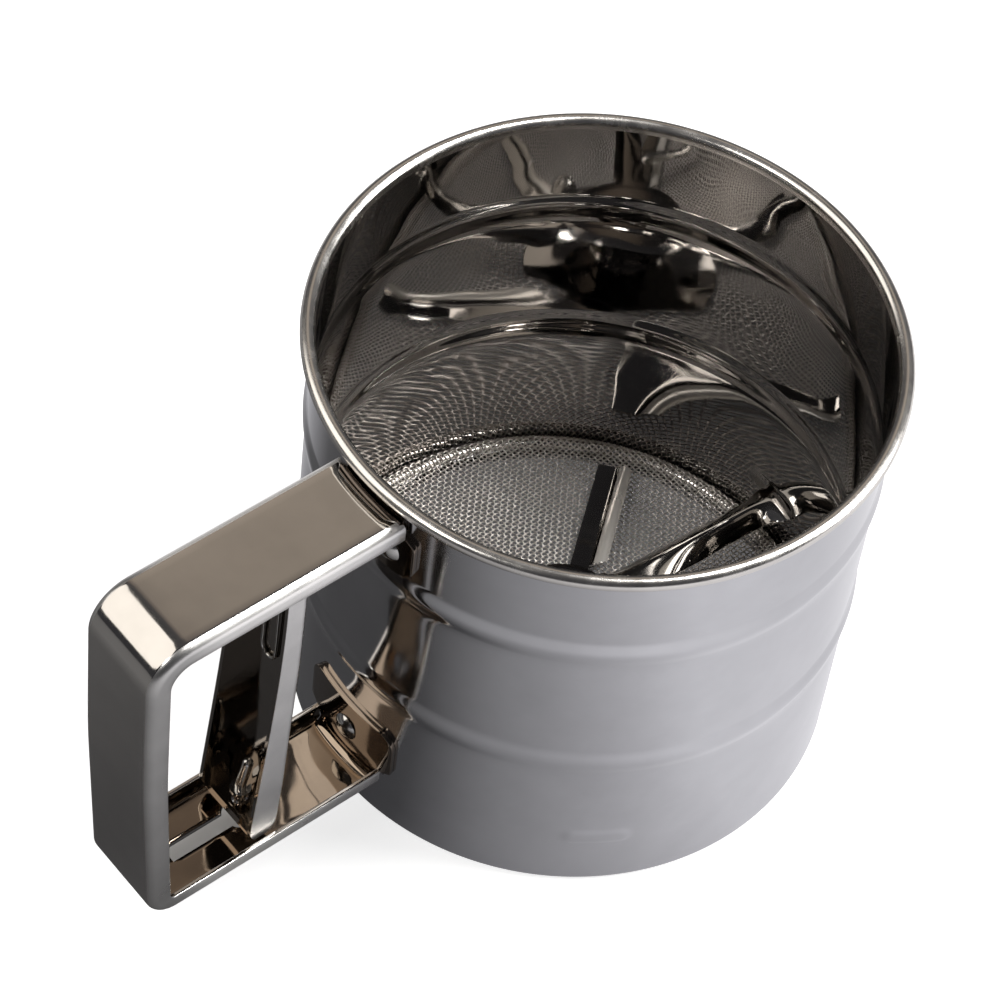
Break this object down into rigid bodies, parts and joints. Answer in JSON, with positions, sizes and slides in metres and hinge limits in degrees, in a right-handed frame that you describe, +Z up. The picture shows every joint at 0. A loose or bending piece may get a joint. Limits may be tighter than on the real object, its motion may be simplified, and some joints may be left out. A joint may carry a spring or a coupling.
{
  "type": "flour sifter",
  "caption": "Hand-squeeze stainless sifter cup: a trigger in the strap handle drives a bladed agitator over a woven wire sieve in the base.",
  "frame": {"origin": "centre of the base, on the cup axis in the plane that the cup stands on", "axes": "+Z up along the cup axis to the open mouth; +X from the cup axis towards the handle; +Y to the left of the handle seen from the cup"},
  "size_m": [0.1499, 0.102, 0.0893],
  "materials": {
    "cup_steel": "polished stainless sheet, faint drawing lines",
    "strap_steel": "polished stainless strip",
    "trigger_steel": "bright rolled sheet",
    "bright_steel": "bright stamped sheet",
    "mesh_wire": "woven wire",
    "wire_steel": "bright drawn wire",
    "spring_wire": "spring wire",
    "rivet_steel": "headed rivet steel"
  },
  "bodies": {
    "frame": {"cup_body": "cup_steel", "sieve_mesh": "mesh_wire", "sieve_hoop": "wire_steel", "agitator_spider": "bright_steel", "agitator_spindle": "bright_steel", "lower_thrust_washer": "bright_steel", "upper_thrust_washer": "bright_steel", "handle_strap": "strap_steel", "upper_handle_rivets": "rivet_steel", "lower_handle_rivet": "rivet_steel", "trigger_pivot_pin": "rivet_steel"},
    "trigger": {"trigger_lever": "trigger_steel", "link_bracket": "trigger_steel", "return_spring": "spring_wire"},
    "link": {"drive_link": "wire_steel", "link_retainer": "spring_wire"},
    "agitator": {"agitator_blades": "bright_steel", "agitator_hub": "bright_steel", "crank_pin": "bright_steel", "crank_clip": "spring_wire"}
  },
  "joints": [
    {"name": "trigger_squeeze", "type": "hinge", "parent": "frame", "child": "trigger", "pos_m": [0.0692, 0, 0.0819], "axis": [0, -1, 0], "range_deg": [0, 11.2], "stiffness_Nm_per_rad": 0.35, "springref_deg": -14.32, "deforming": ["return_spring"]},
    {"name": "link_slide", "type": "slide", "parent": "frame", "child": "link", "axis": [1, 0, 0], "range_m": [0, 0.01281]},
    {"name": "agitator_swing", "type": "hinge", "parent": "frame", "child": "agitator", "pos_m": [0, 0, 0.004], "axis": [0, 0, 1], "range_deg": [-56.67, 0]}
  ],
  "couplings": [
    {"joint": "link_slide", "follows": "trigger_squeeze", "m_per_rad": 0.065532},
    {"joint": "agitator_swing", "follows": "trigger_squeeze", "ratio": -5.0589}
  ]
}
